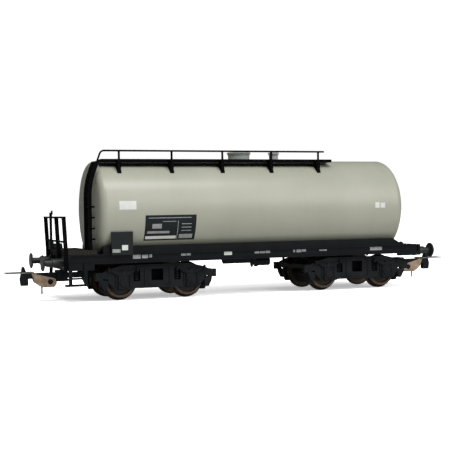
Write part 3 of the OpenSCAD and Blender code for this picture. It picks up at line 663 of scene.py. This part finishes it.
def frame_fittings():
    """Bolts at the buffers and the gearbox, the brake rod at the platform end, and on each
    solebar a knob, a row of rivets and a lug."""
    bm = bmesh.new()
    for end, sign in ENDS.items():
        for name in SIDES:
            middle = node_middle(f"buffer_{end}_{name}")
            for dy in (-BUFFER_BOLT_Y, BUFFER_BOLT_Y):
                for dz in (-BUFFER_BOLT_Z, BUFFER_BOLT_Z):
                    foot = (sign * HEADSTOCK_X, middle.y + dy, middle.z + dz)
                    bolt(bm, foot, (sign, 0, 0), 0.3, 0.3)
    rod_x = -HEADSTOCK_X - ROD_OUT
    drum(bm, (rod_x, ROD_Y, ROD_Z), UP, ROD_R, ROD_L, 16)
    side_block(bm, LEFT, (rod_x, -HEADSTOCK_X + 0.1), CLIP_REACH, CLIP_Z, 0.08)
    for side in SIDES.values():
        drum(bm, (KNOB_X, side * KNOB_Y, SOLEBAR_HI.z - 0.05), UP, KNOB_R, KNOB_H, 16, 0.15)
        for i in range(RIVETS):
            foot = (RIVET_X + RIVET_PITCH * i, side * RIVET_Y, RIVET_Z)
            bolt(bm, foot, (0, side, 0), 0.17, 0.16, 8)
        side_block(bm, side, LUG_X, LUG_REACH, (LUG_Z, SOLEBAR_LO.z + 0.05), 0.1)
    box_lo, box_hi = node_box("handbrake_gearbox")
    for dz in (0.5, 1.5):
        for y in (box_lo.y + GEARBOX_BOLT_IN, box_hi.y - GEARBOX_BOLT_IN):
            bolt(bm, (box_lo.x, y, box_lo.z + dz), (-1, 0, 0), 0.2, 0.12)
    piece("frame_fittings", bm, "wagon", FRAME_BLACK)


# ---- Bogies ----

# Half lengths of a spring's leaves, from the lowest up
LEAVES = (2.2, 3.1, 3.9, 4.6)
LEAF_Z = 8.25
LEAF_PITCH = 0.3
LEAF_T = 0.26
LEAF_W = 0.62
LEAF_BEND_R = 13
BUCKLE_HALF = 0.45
BUCKLE_Z = (8.1, 9.75)
BUCKLE_T = 0.78
HANGER_X = 4.75
HANGER_HALF = 0.35
HANGER_Z = (9.5, 10.9)
PIN_Z = 10.45
PIN_R = 0.3
PIN_L = 0.95
GUIDE_X = 2.25
GUIDE_HALF = 0.22
GUIDE_Z = (4.6, 8.4)
GUIDE_T = 0.42
CAP_BOLT_X = 1.2
CAP_BOLT_Z = (AXLE_Z - 1.6, AXLE_Z + 1.6)
CAP_T = 0.7
BOLT_R = 0.24

LIP_T = 0.28
LOWER_LIP = (6.4, (4.0, 4.42))
UPPER_LIP = (7.6, (10.75, 11.1))
POST_X = 4.2
POST_HALF = 0.25
POST_Z = (4.4, 10.8)
FACE_BOLT_X = 2.9
FACE_BOLT_Z = (5.0, 10.45)

COIL_IN = 0.95
COIL_X = 4.6
COIL_Z = 6.3
COIL_R = 0.72
COIL_WIRE_R = 0.2
COIL_L = 3.8
COIL_TURNS = 5

# Painted shade sheets behind the openings: depths from the frame's face, then the sheets' spans in
# X and Z
BACK_DEPTHS = (2.2, 1.85)
MIDDLE_DEPTHS = (1.75, 1.6)
BACK_X = (3.3, 9.2)
BACK_Z = (5.9, 10.6)
MIDDLE_HALF = 3.2
MIDDLE_FOOT_Z = (5.9, 7.5)
MIDDLE_Z = (7.4, 10.8)

FACE_OUT = 1.8


def about(x, half):
    """The two ends of a span that is centred on x."""
    return x - half, x + half


def bogie_places(end):
    """A bogie's middle X, its two axles' X, and how far out its frames' faces lie."""
    axle_x = sorted(AXLES[end, place].x for place in ("outer", "inner"))
    face_y = node_box(f"bogie_{end}_side_left")[0].y + FACE_OUT
    return sum(axle_x) / 2, axle_x, face_y


def leaf(bm, side, x, face_y, rise, half_l):
    """One leaf of a spring, arched upwards at its ends, a rise above the lowest leaf."""
    bend_r = LEAF_BEND_R - rise
    half = half_l / bend_r
    middle = Vector((x, 0, LEAF_Z + rise + bend_r))
    y_lo, y_hi = sorted((side * face_y, side * (face_y + LEAF_W)))
    section = (bend_r, y_lo), (bend_r, y_hi), (bend_r - LEAF_T, y_hi), (bend_r - LEAF_T, y_lo)
    corners = [middle + Vector((-r * math.sin(half), y, -r * math.cos(half))) for r, y in section]
    swept(bm, corners, middle, (0, -1, 0), 2 * half, LEAF_STEPS)


def bogie_springs(end, name, side):
    """On one side: leaf springs with buckles, hangers and pins, guides, lips, posts and bolts."""
    pivot, axle_x, face_y = bogie_places(end)
    out = (0, side, 0)
    bm = bmesh.new()
    for x in axle_x:
        for i, half_l in enumerate(LEAVES):
            leaf(bm, side, x, face_y, LEAF_PITCH * i, half_l)
        buckle_reach = (face_y, face_y + BUCKLE_T)
        side_block(bm, side, about(x, BUCKLE_HALF), buckle_reach, BUCKLE_Z, 0.06)
        for s in (-1, 1):
            hanger_x = x + s * HANGER_X
            side_block(bm, side, about(hanger_x, HANGER_HALF), buckle_reach, HANGER_Z, 0.08)
            drum(bm, (hanger_x, side * face_y, PIN_Z), out, PIN_R, PIN_L, 12, 0.06)
            guide_x = about(x + s * GUIDE_X, GUIDE_HALF)
            side_block(bm, side, guide_x, (face_y, face_y + GUIDE_T), GUIDE_Z, 0.06)
            for z in CAP_BOLT_Z:
                bolt(bm, (x + s * CAP_BOLT_X, side * (face_y + CAP_T), z), out, BOLT_R, 0.14)
    lip_reach = (face_y, face_y + LIP_T)
    for half, z in (LOWER_LIP, UPPER_LIP):
        side_block(bm, side, about(pivot, half), lip_reach, z, 0.08)
    for s in (-1, 1):
        side_block(bm, side, about(pivot + s * POST_X, POST_HALF), lip_reach, POST_Z, 0.08)
        for z in FACE_BOLT_Z:
            bolt(bm, (pivot + s * FACE_BOLT_X, side * face_y, z), out, BOLT_R, 0.2)
    piece(f"bogie_{end}_springs_{name}", bm, f"bogie_{end}", BOGIE_BLACK)


def bogie_coils(end, name, side):
    """The coil springs in one frame's two openings."""
    pivot, axle_x, face_y = bogie_places(end)
    reach = (axle_x[1] - axle_x[0]) / 2 - COIL_X
    bm = bmesh.new()
    for s in (-1, 1):
        foot = (pivot + s * reach, side * (face_y - COIL_IN), COIL_Z)
        coil(bm, foot, COIL_R, COIL_WIRE_R, COIL_L, COIL_TURNS)
    piece(f"bogie_{end}_coils_{name}", bm, f"bogie_{end}", BOGIE_BLACK)


def bogie_shade_sheets(end, name, side):
    """Painted shade: dark sheets behind one frame's openings, and a shallower one in the middle
    opening, that stand in for the shade seen through them.
    """
    pivot = bogie_places(end)[0]
    face_y = bogie_places(end)[2]
    back, shallow = ([face_y - depth for depth in pair] for pair in (BACK_DEPTHS, MIDDLE_DEPTHS))
    bm = bmesh.new()
    for s in (-1, 1):
        side_block(bm, side, [pivot + s * x for x in BACK_X], back, BACK_Z, 0.05)
    side_block(bm, side, about(pivot, MIDDLE_HALF), back, MIDDLE_FOOT_Z, 0.05)
    side_block(bm, side, about(pivot, MIDDLE_HALF), shallow, MIDDLE_Z, 0.02)
    piece(f"bogie_{end}_shade_sheets_{name}", bm, f"bogie_{end}", SHADE_BLACK)


# ---- Scene ----

# Name, kind, place in metres, size (width and depth in metres, or angle in degrees) and power
LIGHTS = [
    ("overhead", "SUN", (0.0, 0.0, 1.0), 36, 0.2),
    ("front_high", "SUN", (0.45, -0.80, 0.5), 36, 0.88),
    ("front_low", "SUN", (0.40, -0.95, 0.17), 36, 0.3),
    ("softbox", "AREA", (-0.02, -0.26, 0.48), (0.4, 0.14), 1.7),
]
LIT_POINT = (0, 0, 0.03)
BACKDROP = 1.02
FILL = 0.12
FLOOR_HALF = 6

CAMERA_PLACE = (-0.13047, -0.32196, 0.02884)
CAMERA_AZIMUTH = math.radians(21.2346)
CAMERA_DIP = math.radians(0.873)
CAMERA_ROLL = math.radians(-0.9624)
LENS = 79.347
SENSOR_W = 36


def seen_and_thrown(tree, seen, thrown, output):
    """Shows one shader to the camera, and gives another to every other ray."""
    path = tree.nodes.new("ShaderNodeLightPath")
    mix = tree.nodes.new("ShaderNodeMixShader")
    tree.links.new(path.outputs["Is Camera Ray"], mix.inputs[0])
    tree.links.new(thrown.outputs[0], mix.inputs[1])
    tree.links.new(seen.outputs[0], mix.inputs[2])
    tree.links.new(mix.outputs[0], output)


def floor_paper():
    """White paper, which throws less light back up than it shows."""
    material, tree, shader = finish("floor_white", gloss=0.0)[:3]
    shader.inputs["Base Color"].default_value = (2.9, 2.9, 2.9, 1)
    shader.inputs["Roughness"].default_value = 0.9
    shader.inputs["Emission Color"].default_value = (1, 1, 1, 1)
    shader.inputs["Emission Strength"].default_value = 0.4
    dull = tree.nodes.new("ShaderNodeBsdfDiffuse")
    dull.inputs["Color"].default_value = (0.7, 0.7, 0.69, 1)
    seen_and_thrown(tree, shader, dull, tree.nodes["Material Output"].inputs["Surface"])
    return material


def floor():
    """A flat floor of white paper."""
    bm = bmesh.new()
    bmesh.ops.create_grid(bm, x_segments=1, y_segments=1, size=FLOOR_HALF)
    mesh = bpy.data.meshes.new("floor")
    bm.to_mesh(mesh)
    bm.free()
    made = bpy.data.objects.new("floor", mesh)
    bpy.context.scene.collection.objects.link(made)
    mesh.materials.append(floor_paper())


def lights():
    """A soft sun overhead, two from the front right, and a softbox above the front."""
    for name, kind, place, size, power in LIGHTS:
        data = bpy.data.lights.new(name, kind)
        data.energy = power
        if kind == "AREA":
            data.shape = "RECTANGLE"
            data.size, data.size_y = size
        else:
            data.angle = math.radians(size)
        light = bpy.data.objects.new(name, data)
        light.location = place
        aim = Vector(LIT_POINT) - Vector(place)
        light.rotation_euler = aim.to_track_quat("-Z", "Y").to_euler()
        bpy.context.scene.collection.objects.link(light)


def surroundings():
    """A white backdrop, which lights the wagon only faintly."""
    world = bpy.data.worlds.new("studio_white")
    world.use_nodes = True
    tree = world.node_tree
    pale = tree.nodes["Background"]
    dim = tree.nodes.new("ShaderNodeBackground")
    for background, strength in ((pale, BACKDROP), (dim, FILL)):
        background.inputs["Color"].default_value = (1, 1, 1, 1)
        background.inputs["Strength"].default_value = strength
    seen_and_thrown(tree, pale, dim, tree.nodes["World Output"].inputs["Surface"])
    bpy.context.scene.world = world
    bpy.context.scene.view_settings.view_transform = "Standard"


def camera():
    """The camera: out past the platform end and in front of the right side, at about the height
    of the tank's middle."""
    azimuth, dip, roll = CAMERA_AZIMUTH, CAMERA_DIP, CAMERA_ROLL
    ahead = Vector(
        (math.sin(azimuth) * math.cos(dip), math.cos(azimuth) * math.cos(dip), -math.sin(dip))
    )
    level = Vector((math.cos(azimuth), -math.sin(azimuth), 0))
    rise = level.cross(ahead)
    across = math.cos(roll) * level + math.sin(roll) * rise
    up = -math.sin(roll) * level + math.cos(roll) * rise
    data = bpy.data.cameras.new("camera")
    data.sensor_width = SENSOR_W
    data.lens = LENS
    data.clip_start = 0.01
    data.clip_end = 50
    made = bpy.data.objects.new("camera", data)
    turn = Matrix((across, up, -ahead)).transposed()
    made.matrix_world = Matrix.Translation(CAMERA_PLACE) @ turn.to_4x4()
    bpy.context.scene.collection.objects.link(made)
    bpy.context.scene.camera = made


camera()
floor()
lights()
surroundings()
paint_nodes()
tank_seams()
tank_prints()
dome("manhole_dome", 12)
dome("valve_dome", 6)
ladder_studs()
walkway_treads()
deck_planks()
solebar_plates()
frame_fittings()
for end in ENDS:
    for name, side in SIDES.items():
        bogie_springs(end, name, side)
        bogie_coils(end, name, side)
        # painted shade sheets behind the frames' openings
        bogie_shade_sheets(end, name, side)
